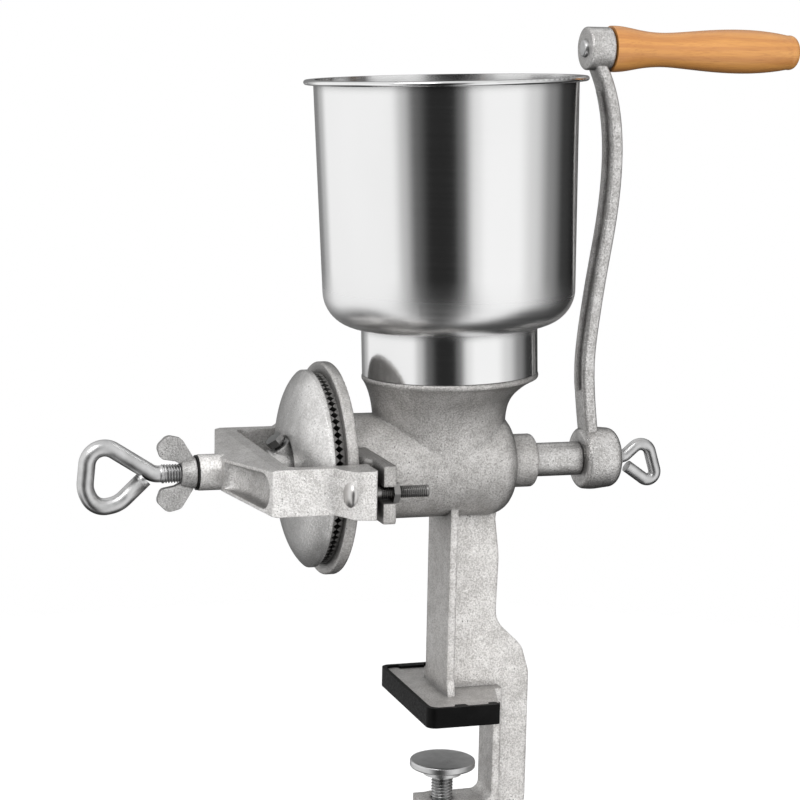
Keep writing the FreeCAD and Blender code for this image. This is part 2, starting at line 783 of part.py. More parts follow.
def plate_carrier():
    """The domed iron disc that turns the outer grinding plate."""
    rim_edge = 1.2
    groove_x = CARRIER_DOME_X + CARRIER_GROOVE
    dome = [
        on_axis(CARRIER_RIM_X, CARRIER_R - rim_edge),
        on_axis(CARRIER_RIM_X - 0.43 * CARRIER_RISE, CARRIER_R * 0.86),
        on_axis(CARRIER_RIM_X - 0.79 * CARRIER_RISE, CARRIER_R * 0.61),
        on_axis(CARRIER_DOME_X, CARRIER_HUB_R + 7.5),
    ]
    straight = [
        dome[-1],
        on_axis(CARRIER_DOME_X + 0.6, CARRIER_HUB_R + 5.5),
        on_axis(groove_x, CARRIER_HUB_R + 3.5),
        on_axis(groove_x, CARRIER_HUB_R),
        on_axis(CARRIER_HUB_X + 1, CARRIER_HUB_R),
        on_axis(CARRIER_HUB_X, CARRIER_HUB_R - 1),
        on_axis(CARRIER_HUB_X, 0),
        on_axis(CARRIER_BACK_X, 0),
        on_axis(CARRIER_BACK_X, CARRIER_R),
        on_axis(CARRIER_RIM_X + rim_edge, CARRIER_R),
        dome[0],
    ]
    profile = Part.Wire([spline(dome)] + Part.makePolygon(straight).Edges)
    blank = Part.Face(profile).revolve(on_axis(0, 0), X_AXIS, 360)
    boss_low = SHAFT_FRONT_R + CARRIER_HUB_WALL / 2
    way = set_screw_way()
    boss = Part.makeCylinder(SET_SCREW_BOSS_R, SET_SCREW_SEAT - boss_low, set_screw_at(boss_low), way)
    cuts = [
        rod_x(TURNING_PLATE_BACK_X, CARRIER_BACK_X + PAST, PLATE_R + PLATE_PLAY),
        rod_x(CARRIER_HUB_X - PAST, CARRIER_BACK_X + PAST, SHAFT_FRONT_R + THREAD),
        Part.makeCylinder(SET_SCREW_R + THREAD, SET_SCREW_SEAT + PAST, set_screw_at(0), way),
    ]
    for y, z in plate_screw_places():
        cuts.append(rod_x(CARRIER_RIM_X - 0.4, TURNING_PLATE_BACK_X + PAST, PLATE_SCREW_R + THREAD, -y, z))
    return one(blank.fuse(boss).cut(cuts))


def hub_set_screw():
    """A hexagon-headed screw that pins the carrier's hub to the shaft."""
    tip = set_screw_tip()
    head_at = SET_SCREW_SEAT + SET_SCREW_SHOW
    shank = Part.makeCylinder(SET_SCREW_R, head_at + 1 - tip, set_screw_at(tip), set_screw_way())
    head = hexagon_x(0, SET_SCREW_HEAD_T, SET_SCREW_HEAD_AF, 0, 0)
    head.rotate(Vector(0, 0, 0), Y_AXIS, -90 - SET_SCREW_TILT)
    head.translate(set_screw_at(head_at))
    return one(shank.fuse(head))


def feed_flight():
    """The helical blade of the feed screw, as a loft through its sections."""
    root_r = FEED_CORE_R - 1.5
    turns = FLIGHT_LENGTH / FEED_PITCH
    count = round(12 * turns)
    sections = []
    for i in range(count + 1):
        angle = 2 * math.pi * turns * i / count
        x = FLIGHT_X + FLIGHT_LENGTH * i / count
        section = []
        for radius, half in ((root_r, FLIGHT_ROOT_T / 2), (FEED_R, FLIGHT_TIP_T / 2)):
            y = radius * math.cos(angle)
            z = AXIS_Z + radius * math.sin(angle)
            section.insert(0, Vector(x - half, y, z))
            section.append(Vector(x + half, y, z))
        sections.append(Part.makePolygon(section + section[:1]))
    return Part.makeLoft(sections, True)


def feed_screw():
    """The cast feed screw in one piece with its shaft."""
    collar_r = JOURNAL_R + SHAFT_COLLAR
    collar_x = BORE_END_X - 0.4
    shaft = turned(
        [
            (SHAFT_FRONT_X, 0),
            (SHAFT_FRONT_X, SHAFT_FRONT_R, 0.8),
            (TURNING_PLATE_BACK_X, SHAFT_FRONT_R),
            (TURNING_PLATE_BACK_X, FEED_CORE_R),
            (collar_x - 5, FEED_CORE_R),
            (collar_x - 1, collar_r),
            (collar_x, collar_r),
            (collar_x, JOURNAL_R),
            (CRANK_X, JOURNAL_R, 0.6),
            (CRANK_X, SHAFT_END_R),
            (SHAFT_END_X, SHAFT_END_R, 0.6),
            (SHAFT_END_X, 0),
        ]
    )
    flat_at = Vector(CRANK_X, -CRANK_HUB_R, AXIS_Z + SHAFT_END_FLAT)
    flat = Part.makeBox(2 * CRANK_HUB_R, 2 * CRANK_HUB_R, CRANK_HUB_R, flat_at)
    cup = Part.makeSphere(BALL_R + TOUCH, Vector(BALL_X, 0, AXIS_Z))
    tapped = rod_x(THUMB_TIP_X - 2, SHAFT_END_X + PAST, THUMB_R + THREAD)
    dimple_at = set_screw_at(set_screw_tip() - 0.1)
    dimple = Part.makeCylinder(SET_SCREW_R + 0.1, SET_SCREW_SEAT, dimple_at, set_screw_way())
    return one(shaft.fuse(feed_flight()).cut([flat, cup, tapped, dimple]))


def thrust_ball():
    return Part.makeSphere(BALL_R, Vector(BALL_X, 0, AXIS_Z))


# ---- Yoke and adjusting screw ----


def yoke_half_plan():
    """Plan of half the yoke, from its boss round to the lug that takes a bolt."""
    inner_y = YOKE_HALF - YOKE_ARM_T
    end_x = YOKE_INNER_X - YOKE_END_T
    lug_in = FLANGE_R + YOKE_FLANGE_PLAY
    return [
        (YOKE_INNER_X, -2),
        (YOKE_FRONT_X, -2),
        (YOKE_FRONT_X, YOKE_BOSS_R - 0.5),
        (end_x - 4, YOKE_HALF - 5, 4),
        (end_x, YOKE_HALF, 4),
        (LUG_FRONT_X - 9.5, YOKE_HALF),
        (LUG_FRONT_X - 2.5, EAR_OUT - 1, 5),
        (LUG_FRONT_X + 1, EAR_OUT),
        (LUG_BACK_X, EAR_OUT, 1.5),
        (LUG_BACK_X, lug_in),
        (LUG_FRONT_X - 3, lug_in),
        (LUG_FRONT_X - 6.5, inner_y),
        (YOKE_INNER_X, inner_y, 6),
    ]


def yoke():
    """The cast yoke that carries the adjusting screw in front of the carrier."""
    half = prism(yoke_half_plan(), on_xy, Z_AXIS, AXIS_Z - 2 * YOKE_ARM_HALF, AXIS_Z + 2 * YOKE_ARM_HALF)
    deep_x = YOKE_INNER_X - YOKE_END_T
    side = [
        (YOKE_BOSS_X, YOKE_MID_HALF),
        (YOKE_FRONT_X, YOKE_MID_HALF),
        (deep_x, YOKE_ARM_HALF),
        (LUG_FRONT_X - 6.5, YOKE_ARM_HALF),
        (LUG_BACK_X + PAST, YOKE_ARM_HALF + 0.6),
    ]
    side += [(x, -z) for x, z in reversed(side)]
    frame = half.fuse(mirrored(half)).common(prism(side, on_axis, Y_AXIS, -EAR_OUT - PAST, EAR_OUT + PAST))
    boss_foot_x = YOKE_INNER_X - 4.5
    boss = turned(
        [
            (YOKE_BOSS_X, 0),
            (YOKE_BOSS_X, YOKE_BOSS_R, 0.8),
            (YOKE_FRONT_X + 6, YOKE_BOSS_R),
            (boss_foot_x, YOKE_BOSS_R + 1.5),
            (boss_foot_x, 0),
        ]
    )
    cuts = [rod_x(YOKE_BOSS_X - PAST, YOKE_INNER_X + PAST, ADJUST_R + THREAD)]
    head_room = BOLT_HEAD_R + BOLT_HEAD_ROOM
    for y in (-BOLT_Y, BOLT_Y):
        cuts.append(rod_x(LUG_FRONT_X - PAST, LUG_BACK_X + PAST, BOLT_R + LOOSE, y))
        cuts.append(rod_x(LUG_FRONT_X - 14, LUG_FRONT_X, head_room, y))
    return one(frame.fuse(boss).cut(cuts))


def yoke_bolts():
    bolts = []
    bolt = turned(
        [
            (LUG_FRONT_X, 0),
            (LUG_FRONT_X - BOLT_HEAD_T, 0),
            (LUG_FRONT_X - BOLT_HEAD_T, BOLT_HEAD_R, 3.8),
            (LUG_FRONT_X, BOLT_HEAD_R),
            (LUG_FRONT_X, BOLT_R),
            (EAR_BACK_X + NUT_T + BOLT_PROUD, BOLT_R, 0.6),
            (EAR_BACK_X + NUT_T + BOLT_PROUD, 0),
        ]
    )
    for y in (-BOLT_Y, BOLT_Y):
        copy = bolt.copy()
        copy.translate(Y_AXIS * y)
        bolts.append(copy)
    return Part.makeCompound(bolts)


def yoke_nuts():
    nuts = []
    for y in (-BOLT_Y, BOLT_Y):
        blank = hexagon_x(EAR_BACK_X, NUT_T, NUT_AF, y)
        nuts.append(blank.cut(rod_x(EAR_BACK_X - PAST, EAR_BACK_X + NUT_T + PAST, BOLT_R + THREAD, y)))
    return Part.makeCompound(nuts)


def adjusting_screw():
    """A threaded rod whose outer end is bent into a three-cornered eye."""
    thread_end_x = YOKE_BOSS_X - ADJUST_THREAD_OUT
    thread = rod_x(thread_end_x, BALL_X - BALL_R - TOUCH, ADJUST_R)
    eye_line = [
        (thread_end_x + 4, 0),
        (thread_end_x - 4.5, 0, 9),
        (thread_end_x - 37.6, 21.2, 9),
        (thread_end_x - 40.2, -6.8, 14),
        (thread_end_x - 34.8, -17.1, 9),
        (thread_end_x - 22.7, -15.0, 14),
        (thread_end_x - 10.3, -3.2),
    ]
    return one(thread.fuse(bent_rod(eye_line, on_axis, ADJUST_ROD_R)))


def lock_washer():
    disc = rod_x(YOKE_BOSS_X - LOCK_WASHER_T, YOKE_BOSS_X, LOCK_WASHER_R)
    return one(disc.cut(rod_x(YOKE_BOSS_X - LOCK_WASHER_T - PAST, YOKE_BOSS_X + PAST, ADJUST_R + LOOSE)))


def wing_nut():
    foot_x = YOKE_BOSS_X - LOCK_WASHER_T
    top_x = foot_x - WING_NUT_T
    outer_r = ADJUST_R + WING_NUT_WALL
    nut = turned([(foot_x, 0), (foot_x, outer_r, 0.6), (top_x, outer_r - 1.8, 0.8), (top_x, 0)])
    wing_side = [
        (foot_x - 1.2, ADJUST_R),
        (foot_x - 1.2, outer_r - 0.2),
        (foot_x - 7.6, outer_r + 10.2, 4.5),
        (foot_x - 15.0, outer_r + 12.0, 4.5),
        (foot_x - 20.8, outer_r + 6.2, 4),
        (foot_x - 18.4, outer_r - 0.4, 3),
        (foot_x - 11.0, outer_r - 1.7, 2),
        (top_x, ADJUST_R),
    ]
    wing = prism(wing_side, on_axis, Y_AXIS, -WING_T / 2, WING_T / 2)
    other = wing.mirror(Vector(0, 0, AXIS_Z), Z_AXIS)
    return one(nut.fuse([wing, other]).cut(rod_x(top_x - PAST, foot_x + PAST, ADJUST_R + THREAD)))


# ---- Crank ----


def arm_bar(front, back, width, line):
    """A bar along the arm's line, from front to back of it along X."""
    near = [on_axis(CRANK_X + x + front, z) for x, z in line]
    far = [on_axis(CRANK_X + x + back, z) for x, z in reversed(line)]
    ends = [Part.makeLine(near[-1], far[0]), Part.makeLine(far[-1], near[0])]
    face = Part.Face(Part.Wire([spline(near), ends[0], spline(far), ends[1]]))
    face.translate(Y_AXIS * (-width / 2))
    return face.extrude(Y_AXIS * width)


def crank_arm():
    """The curved, ribbed iron arm with its hub and its grip boss."""
    hub = turned(
        [
            (CRANK_X, 0),
            (CRANK_X, CRANK_HUB_R - 0.8, 3),
            (CRANK_X + 7, CRANK_HUB_R, 30),
            (CRANK_FACE_X, CRANK_HUB_R - 1.5, 5),
            (CRANK_FACE_X, 0),
        ]
    )
    grip_z = AXIS_Z + THROW
    boss = rod_x(CRANK_BOSS_X, CRANK_BOSS_X + CRANK_BOSS_LENGTH, CRANK_BOSS_R, 0, grip_z)
    boss = rounded(boss, 1.2, "Part::GeomCircle")
    bar = rounded(arm_bar(-ARM_T / 2, ARM_T / 2, ARM_WIDTH, ARM_LINE), 1.6, "Part::GeomBSplineCurve")
    rib = arm_bar(-ARM_T / 2 - ARM_RIB_PROUD, 0, ARM_RIB_WIDTH, ARM_LINE[1:-1])
    flat_x = CRANK_X - CRANK_HUB_R
    flat_z = AXIS_Z + SHAFT_END_FLAT + THREAD
    flat = Part.makeBox(3 * CRANK_HUB_R, 2 * CRANK_HUB_R, CRANK_HUB_R, Vector(flat_x, -CRANK_HUB_R, flat_z))
    cuts = [
        rod_x(CRANK_X - PAST, CRANK_FACE_X - CRANK_HUB_FACE_T, SHAFT_END_R + THREAD).cut(flat),
        rod_x(CRANK_X, CRANK_FACE_X + PAST, THUMB_R + LOOSE),
        rod_x(CRANK_BOSS_X - 3, CRANK_BOSS_X + CRANK_BOSS_LENGTH + 3, GRIP_BOLT_R + THREAD, 0, grip_z),
    ]
    return one(hub.fuse([boss, bar, rib]).cut(cuts))


def crank_thumbscrew():
    """The bent-rod screw that holds the crank on the shaft."""
    thread = rod_x(THUMB_TIP_X, THUMB_FACE_X + 3, THUMB_R)
    collar = rod_x(THUMB_FACE_X, THUMB_FACE_X + 2, THUMB_COLLAR_R)
    eye_line = [
        (THUMB_FACE_X + 1.5, 0),
        (THUMB_FACE_X + 4.5, 0, 4),
        (THUMB_FACE_X + 17.5, 11.0, 6),
        (THUMB_FACE_X + 27.0, -20.0, 4.3),
        (THUMB_FACE_X + 6.5, -5.5),
    ]
    return one(thread.fuse([collar, bent_rod(eye_line, on_axis, THUMB_ROD_R)]))


def thumbscrew_washer():
    ring = rod_x(CRANK_FACE_X, THUMB_FACE_X, THUMB_WASHER_R)
    return one(ring.cut(rod_x(CRANK_FACE_X - PAST, THUMB_FACE_X + PAST, THUMB_R + LOOSE)))


# ---- Grip: drawn on the shaft line, then lifted to the end of the arm ----


def grip():
    """A turned wooden grip, bored for its bolt."""
    curve = [on_axis(GRIP_X + GRIP_LENGTH * share, radius) for share, radius in GRIP_LINE]
    face_r = GRIP_RECESS_R + 0.8
    tip = on_axis(GRIP_END_X, face_r)
    nose = Part.Arc(curve[-1], on_axis(GRIP_END_X - 1.2, (GRIP_LINE[-1][1] + face_r) / 2 + 0.4), tip)
    middle = Part.makePolygon([tip, on_axis(GRIP_END_X, 0), on_axis(GRIP_X, 0), curve[0]])
    profile = Part.Wire([spline(curve), nose.toShape()] + middle.Edges)
    blank = Part.Face(profile).revolve(on_axis(0, 0), X_AXIS, 360)
    bore = rod_x(GRIP_X - PAST, GRIP_END_X, GRIP_BOLT_R + RUNNING)
    recess = rod_x(GRIP_END_X - GRIP_RECESS, GRIP_END_X + PAST, GRIP_RECESS_R)
    handle = one(blank.cut([bore, recess]))
    handle.translate(Z_AXIS * THROW)
    return handle


def grip_bolt():
    """The bolt the grip turns on, riveted over in the crank's boss."""
    rivet_x = CRANK_BOSS_X - GRIP_RIVET_PROUD
    head_x = GRIP_WASHER_X + GRIP_WASHER_T
    top_x = head_x + GRIP_BOLT_HEAD_T
    bolt = turned(
        [
            (rivet_x, 0),
            (rivet_x, GRIP_RIVET_R - 0.6, 1.0),
            (CRANK_BOSS_X, GRIP_RIVET_R),
            (CRANK_BOSS_X, GRIP_BOLT_R),
            (head_x, GRIP_BOLT_R),
            (head_x, GRIP_BOLT_HEAD_R, 0.2),
            (top_x, GRIP_BOLT_HEAD_R - 0.6, 1.6),
            (top_x, 0),
        ]
    )
    slot_at = Vector(top_x - 1.2, -0.6, AXIS_Z - 2 * GRIP_BOLT_HEAD_R)
    slot = Part.makeBox(2, 1.2, 4 * GRIP_BOLT_HEAD_R, slot_at)
    bolt = one(bolt.cut(slot))
    bolt.translate(Z_AXIS * THROW)
    return bolt


def grip_washer():
    ring = rod_x(GRIP_WASHER_X, GRIP_WASHER_X + GRIP_WASHER_T, GRIP_WASHER_R)
    ring = one(ring.cut(rod_x(GRIP_WASHER_X - PAST, GRIP_END_X, GRIP_BOLT_R + 0.1)))
    ring.translate(Z_AXIS * THROW)
    return ring


# ---- Clamp ----


def clamp_screw():
    """The upright screw under the table, with a bent eye to turn it by."""
    thread_low = JAW_BOTTOM_Z - CLAMP_THREAD_LOW
    thread = rod_z(thread_low, PAD_BOTTOM_Z + PAD_SOCKET, CLAMP_SCREW_R)
    eye_line = [
        (0, thread_low + 4),
        (0, thread_low - 8, 8),
        (15, thread_low - 32, 7),
        (-15, thread_low - 34, 7),
        (-5.4, thread_low - 12.5),
    ]
    return one(thread.fuse(bent_rod(eye_line, on_xz, CLAMP_ROD_R)))


def clamp_pad():
    """The round pad that swivels on the clamp screw's tip."""
    disc = rounded(rod_z(PAD_Z - PAD_DISC_T, PAD_Z, PAD_R), 1.0, "Part::GeomCircle")
    collar = rod_z(PAD_BOTTOM_Z, PAD_Z - PAD_DISC_T + 1, CLAMP_SCREW_R + RUNNING + PAD_COLLAR_WALL)
    socket = rod_z(PAD_BOTTOM_Z - PAST, PAD_BOTTOM_Z + PAD_SOCKET + TOUCH, CLAMP_SCREW_R + RUNNING)
    return one(disc.fuse(collar).cut(socket))


PIECES = [
    mill_body,
    foot_boot,
    hopper,
    fixed_plate,
    fixed_plate_screws,
    turning_plate,
    turning_plate_screws,
    plate_carrier,
    hub_set_screw,
    feed_screw,
    thrust_ball,
    yoke,
    yoke_bolts,
    yoke_nuts,
    adjusting_screw,
    lock_washer,
    wing_nut,
    crank_arm,
    crank_thumbscrew,
    thumbscrew_washer,
    grip,
    grip_bolt,
    grip_washer,
    clamp_screw,
    clamp_pad,
]


def write_parts():
    os.makedirs("parts", exist_ok=True)
    for make in PIECES:
        shape = make()
        shape.exportStep("parts/" + make.__name__ + ".step")
        print(make.__name__, len(shape.Solids), round(shape.Volume), shape.isValid())


write_parts()
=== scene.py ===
"""Looks of the hand-cranked burr mill: camera, materials, threads, yoke and studio.

Lengths are in metres. +X runs along the shaft towards the crank, and -Y faces the camera's side.
"""

import json
import math

import bmesh
import bpy
from mathutils import Matrix, Vector

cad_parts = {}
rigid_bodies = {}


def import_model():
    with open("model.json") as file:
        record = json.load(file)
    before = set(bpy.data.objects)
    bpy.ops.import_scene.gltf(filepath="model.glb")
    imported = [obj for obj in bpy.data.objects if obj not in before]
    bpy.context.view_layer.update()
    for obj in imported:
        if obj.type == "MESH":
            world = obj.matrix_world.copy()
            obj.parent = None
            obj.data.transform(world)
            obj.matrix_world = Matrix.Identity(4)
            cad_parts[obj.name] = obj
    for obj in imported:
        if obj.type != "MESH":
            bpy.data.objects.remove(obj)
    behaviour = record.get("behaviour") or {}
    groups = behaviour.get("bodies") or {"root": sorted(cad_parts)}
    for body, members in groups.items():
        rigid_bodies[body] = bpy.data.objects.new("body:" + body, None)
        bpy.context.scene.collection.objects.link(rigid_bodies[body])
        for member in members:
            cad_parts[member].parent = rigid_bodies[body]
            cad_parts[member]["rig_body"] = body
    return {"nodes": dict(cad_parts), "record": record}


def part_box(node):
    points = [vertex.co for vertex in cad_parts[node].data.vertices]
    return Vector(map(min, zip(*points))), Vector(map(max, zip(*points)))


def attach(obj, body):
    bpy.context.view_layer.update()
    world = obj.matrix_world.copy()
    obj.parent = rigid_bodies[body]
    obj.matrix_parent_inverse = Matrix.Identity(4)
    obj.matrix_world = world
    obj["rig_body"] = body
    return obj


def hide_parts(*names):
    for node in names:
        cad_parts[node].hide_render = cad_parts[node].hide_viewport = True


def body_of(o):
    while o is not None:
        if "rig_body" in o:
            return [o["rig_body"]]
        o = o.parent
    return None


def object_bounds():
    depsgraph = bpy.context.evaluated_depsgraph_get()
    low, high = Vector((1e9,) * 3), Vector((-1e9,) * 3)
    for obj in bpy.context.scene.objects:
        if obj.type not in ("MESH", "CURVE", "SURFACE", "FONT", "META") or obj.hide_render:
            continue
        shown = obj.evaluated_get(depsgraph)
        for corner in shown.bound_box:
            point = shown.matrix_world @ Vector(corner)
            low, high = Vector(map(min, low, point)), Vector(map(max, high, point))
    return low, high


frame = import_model()
cad_low, cad_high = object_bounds()
scene = bpy.context.scene

# Places that looks and pieces line up with: the shaft's height, the hopper's rim, and the front faces of
# the yoke's boss and lugs
AXIS_Z = (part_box("feed_screw")[0][2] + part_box("feed_screw")[1][2]) / 2
RIM_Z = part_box("hopper")[1][2]
BOSS_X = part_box("yoke")[0][0]
LUG_T = 0.009
LUG_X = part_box("yoke")[1][0] - LUG_T


# ---- Camera ----

YAW = math.radians(17.83)
PITCH = math.radians(-9.0)
ROLL = math.radians(1.23)
CAMERA_AT = Vector((-0.3895, -1.1204, 0.3556))
FOCAL_PIXELS = 2234.0
FRAME_PIXELS = 800.0


def add_camera():
    """A long lens, turned, tipped and rolled as the camera was that took the photograph."""
    data = bpy.data.cameras.new("camera")
    data.sensor_width = 36.0
    data.lens = data.sensor_width * FOCAL_PIXELS / FRAME_PIXELS
    data.clip_start = 0.05
    data.clip_end = 20.0
    camera = bpy.data.objects.new("camera", data)
    scene.collection.objects.link(camera)
    scene.camera = camera
    ahead = Vector((math.sin(YAW) * math.cos(PITCH), math.cos(YAW) * math.cos(PITCH), math.sin(PITCH)))
    level = Vector((math.cos(YAW), -math.sin(YAW), 0))
    above = level.cross(ahead)
    right = level * math.cos(ROLL) + above * math.sin(ROLL)
    up = above * math.cos(ROLL) - level * math.sin(ROLL)
    turn = Matrix((right, up, -ahead)).transposed().to_4x4()
    camera.matrix_world = Matrix.Translation(CAMERA_AT) @ turn


add_camera()
scene.view_settings.view_transform = "Standard"


# ---- Material helpers ----


class Nodes:
    """Builds a node tree, where a value can be a number, a colour, a socket or a node."""

    def __init__(self, tree):
        self.tree = tree

    def add(self, kind, inputs=None, **settings):
        node = self.tree.nodes.new(kind)
        for key, value in settings.items():
            setattr(node, key, value)
        for key, value in (inputs or {}).items():
            self.put(node.inputs[key], value)
        return node

    def put(self, socket, value):
        if isinstance(value, bpy.types.NodeSocket):
            self.tree.links.new(value, socket)
        elif isinstance(value, bpy.types.Node):
            self.tree.links.new(value.outputs[0], socket)
        else:
            socket.default_value = value

    def noise(self, where, scale, detail, rough):
        inputs = {"Vector": where, "Scale": scale, "Detail": detail, "Roughness": rough}
        return self.add("ShaderNodeTexNoise", inputs).outputs["Fac"]

    def span(self, value, low, high, to_low, to_high):
        """A value from low to high carried over to the span from to_low to to_high, and held at its ends."""
        inputs = {"Value": value, "From Min": low, "From Max": high, "To Min": to_low, "To Max": to_high}
        return self.add("ShaderNodeMapRange", inputs).outputs["Result"]

    def mix(self, share, first, second, mode="MIX"):
        node = self.add("ShaderNodeMix", data_type="RGBA", blend_type=mode)
        self.put(node.inputs["Factor"], share)
        self.put(node.inputs["A"], first)
        self.put(node.inputs["B"], second)
        return node.outputs["Result"]

    def shade(self, colour, share):
        """A colour with each channel multiplied by a share."""
        grey_share = self.add("ShaderNodeCombineColor", {0: share, 1: share, 2: share})
        return self.mix(1.0, colour, grey_share, "MULTIPLY")

    def math(self, operation, first, second):
        node = self.add("ShaderNodeMath", operation=operation)
        self.put(node.inputs[0], first)
        self.put(node.inputs[1], second)
        return node.outputs[0]

    def part_of(self, where, letter):
        """One coordinate of a place, by its capital letter."""
        return self.add("ShaderNodeSeparateXYZ", {0: where}).outputs[letter]

    def dot(self, first, second):
        node = self.add("ShaderNodeVectorMath", {0: first, 1: second}, operation="DOT_PRODUCT")
        return node.outputs["Value"]

    def stretched(self, where, scale):
        """Coordinates scaled along each axis, so that a pattern runs long where its scale is small."""
        return self.add("ShaderNodeMapping", {"Vector": where, "Scale": scale}).outputs["Vector"]


def grey(value, warmth=0.0):
    """A grey that is warmer, or redder, by a share of its value."""
    return (value * (1 + warmth), value, value * (1 - warmth), 1.0)


def new_material(name):
    """A material with its nodes, its Principled shader, and the place on the object that it is seen at."""
    made = bpy.data.materials.new(name)
    made.use_nodes = True
    made.node_tree.nodes.clear()
    nodes = Nodes(made.node_tree)
    shader = nodes.add("ShaderNodeBsdfPrincipled")
    output = nodes.add("ShaderNodeOutputMaterial")
    nodes.put(output.inputs["Surface"], shader.outputs["BSDF"])
    where = nodes.add("ShaderNodeTexCoord").outputs["Object"]
    return made, nodes, shader, where


def bump(nodes, height, distance, normal=None):
    """A normal turned by a height times a distance, on top of another normal where one is given."""
    node = nodes.add("ShaderNodeBump", {"Height": height, "Distance": distance, "Strength": 1.0})
    if normal is not None:
        nodes.put(node.inputs["Normal"], normal)
    return node.outputs["Normal"]


def soft_edge(nodes, radius):
    """A normal that turns gently over sharp edges, as on a casting."""
    return nodes.add("ShaderNodeBevel", {"Radius": radius}, samples=4).outputs["Normal"]


def shaded_corners(nodes, colour, reach, low, high, darkest):
    """Darkens a colour in corners and hollows that other surfaces close in within the reach."""
    open_sky = nodes.add("ShaderNodeAmbientOcclusion", {"Distance": reach}, samples=6).outputs["AO"]
    return nodes.shade(colour, nodes.span(open_sky, low, high, darkest, 1.0))


def cast_metal(name, light, dark, rough, grain, edge=0.0010, outline_shade=0.45, metal=0.74, height_shade=None, reach=0.007):
    """Tinned iron as cast: sandy grain, pits and blotches of tone, with painted shade in its corners and at
    its outline.

    light and dark are the tones of the grain, rough the span of roughness, grain its relief, edge the
    radius of the corners, outline_shade the tone left by painted shade at the outline, height_shade a
    (low z, high z, tone left above) of painted shade upwards, and reach how near another surface paints
    shade.
    """
    made, nodes, shader, where = new_material(name)
    fine = nodes.noise(where, 2400.0, 2.0, 0.6)
    sand = nodes.noise(where, 1050.0, 3.0, 0.65)
    blotch = nodes.noise(where, 120.0, 4.0, 0.6)
    broad = nodes.noise(where, 26.0, 2.0, 0.5)
    tone = nodes.math("ADD", nodes.math("MULTIPLY", sand, 0.66), nodes.math("MULTIPLY", blotch, 0.34))
    colour = nodes.mix(nodes.span(tone, 0.40, 0.60, 0.0, 1.0), dark, light)
    cells = nodes.add("ShaderNodeTexVoronoi", {"Vector": where, "Scale": 420.0, "Randomness": 1.0})
    pits = nodes.span(cells.outputs["Distance"], 0.05, 0.24, 1.0, 0.0)
    pitted = nodes.math("MULTIPLY", pits, nodes.span(blotch, 0.48, 0.62, 0.0, 1.0))
    colour = nodes.mix(nodes.math("MULTIPLY", pitted, 0.8), colour, grey(0.08, 0.04))
    # Painted shade: the colour darkens in corners and hollows that other surfaces close in
    colour = shaded_corners(nodes, colour, reach, 0.30, 0.90, 0.40)
    # Painted shade: the colour darkens towards the outline, where the surface turns away from the view
    aslant = nodes.add("ShaderNodeLayerWeight", {"Blend": 0.5}).outputs["Facing"]
    colour = nodes.shade(colour, nodes.span(aslant, 0.50, 0.97, 1.0, outline_shade))
    # Painted shade: the colour darkens upwards between two heights
    if height_shade is not None:
        low, high, share = height_shade
        colour = nodes.shade(colour, nodes.span(nodes.part_of(where, "Z"), low, high, 1.0, share))
    nodes.put(shader.inputs["Base Color"], colour)
    shader.inputs["Metallic"].default_value = metal
    nodes.put(shader.inputs["Roughness"], nodes.span(sand, 0.3, 0.7, rough[1], rough[0]))
    first = bump(nodes, broad, 0.0014, normal=soft_edge(nodes, edge))
    relief = nodes.math("SUBTRACT", sand, nodes.math("MULTIPLY", pitted, 0.6))
    second = bump(nodes, relief, grain, normal=first)
    nodes.put(shader.inputs["Normal"], bump(nodes, fine, grain * 0.4, normal=second))
    return made


def plated_steel(name, tone, rough, warmth=0.0, grain=0.00002, head=None):
    """Plated screws and washers with faint handling marks and painted shade in their corners.

    The part of a piece in front of x has a tone of its own where head gives (x, tone).
    """
    made, nodes, shader, where = new_material(name)
    marks = nodes.noise(where, 700.0, 4.0, 0.6)
    cloud = nodes.noise(where, 110.0, 3.0, 0.55)
    worn = nodes.span(cloud, 0.35, 0.65, 0.0, 1.0)
    colour = nodes.mix(worn, grey(tone * 0.72, warmth), grey(tone, warmth))
    # Painted shade in corners and hollows
    colour = shaded_corners(nodes, colour, 0.003, 0.25, 0.9, 0.25)
    if head is not None:
        end_x, head_tone = head
        blur = 0.0002
        on_head = nodes.span(nodes.part_of(where, "X"), end_x - blur, end_x, 1.0, 0.0)
        colour = nodes.mix(on_head, colour, grey(head_tone, warmth))
    nodes.put(shader.inputs["Base Color"], colour)
    shader.inputs["Metallic"].default_value = 1.0
    nodes.put(shader.inputs["Roughness"], nodes.span(cloud, 0.3, 0.7, rough * 0.8, rough * 1.25))
    nodes.put(shader.inputs["Normal"], bump(nodes, marks, grain, normal=soft_edge(nodes, 0.0003)))
    return made


def spun_steel(name):
    """Polished stainless sheet with faint rings from spinning, and painted shade in its hollows."""
    made, nodes, shader, where = new_material(name)
    rings = nodes.noise(nodes.stretched(where, (2.0, 2.0, 700.0)), 1.0, 3.0, 0.6)
    smear = nodes.noise(nodes.stretched(where, (11.0, 11.0, 4.0)), 1.0, 3.0, 0.5)
    colour = nodes.mix(nodes.span(smear, 0.3, 0.7, 0.0, 1.0), grey(0.72), grey(0.78))
    # Painted shade in corners and hollows
    colour = shaded_corners(nodes, colour, 0.006, 0.30, 0.85, 0.25)
    nodes.put(shader.inputs["Base Color"], colour)
    shader.inputs["Metallic"].default_value = 1.0
    # The shoulder is left a little duller by the spinning tool, fading out between these depths from the rim
    neck_end, shoulder_start = 0.1375, 0.1330
    shoulder_end, wall_start = 0.118, 0.102
    height = nodes.part_of(where, "Z")
    over_neck = nodes.span(height, RIM_Z - neck_end, RIM_Z - shoulder_start, 0.0, 1.0)
    under_wall = nodes.span(height, RIM_Z - shoulder_end, RIM_Z - wall_start, 1.0, 0.0)
    dull = nodes.math("MULTIPLY", nodes.math("MULTIPLY", over_neck, under_wall), 0.17)
    nodes.put(shader.inputs["Roughness"], nodes.math("ADD", nodes.span(rings, 0.3, 0.7, 0.11, 0.16), dull))
    nodes.put(shader.inputs["Normal"], bump(nodes, rings, 0.000004))
    return made


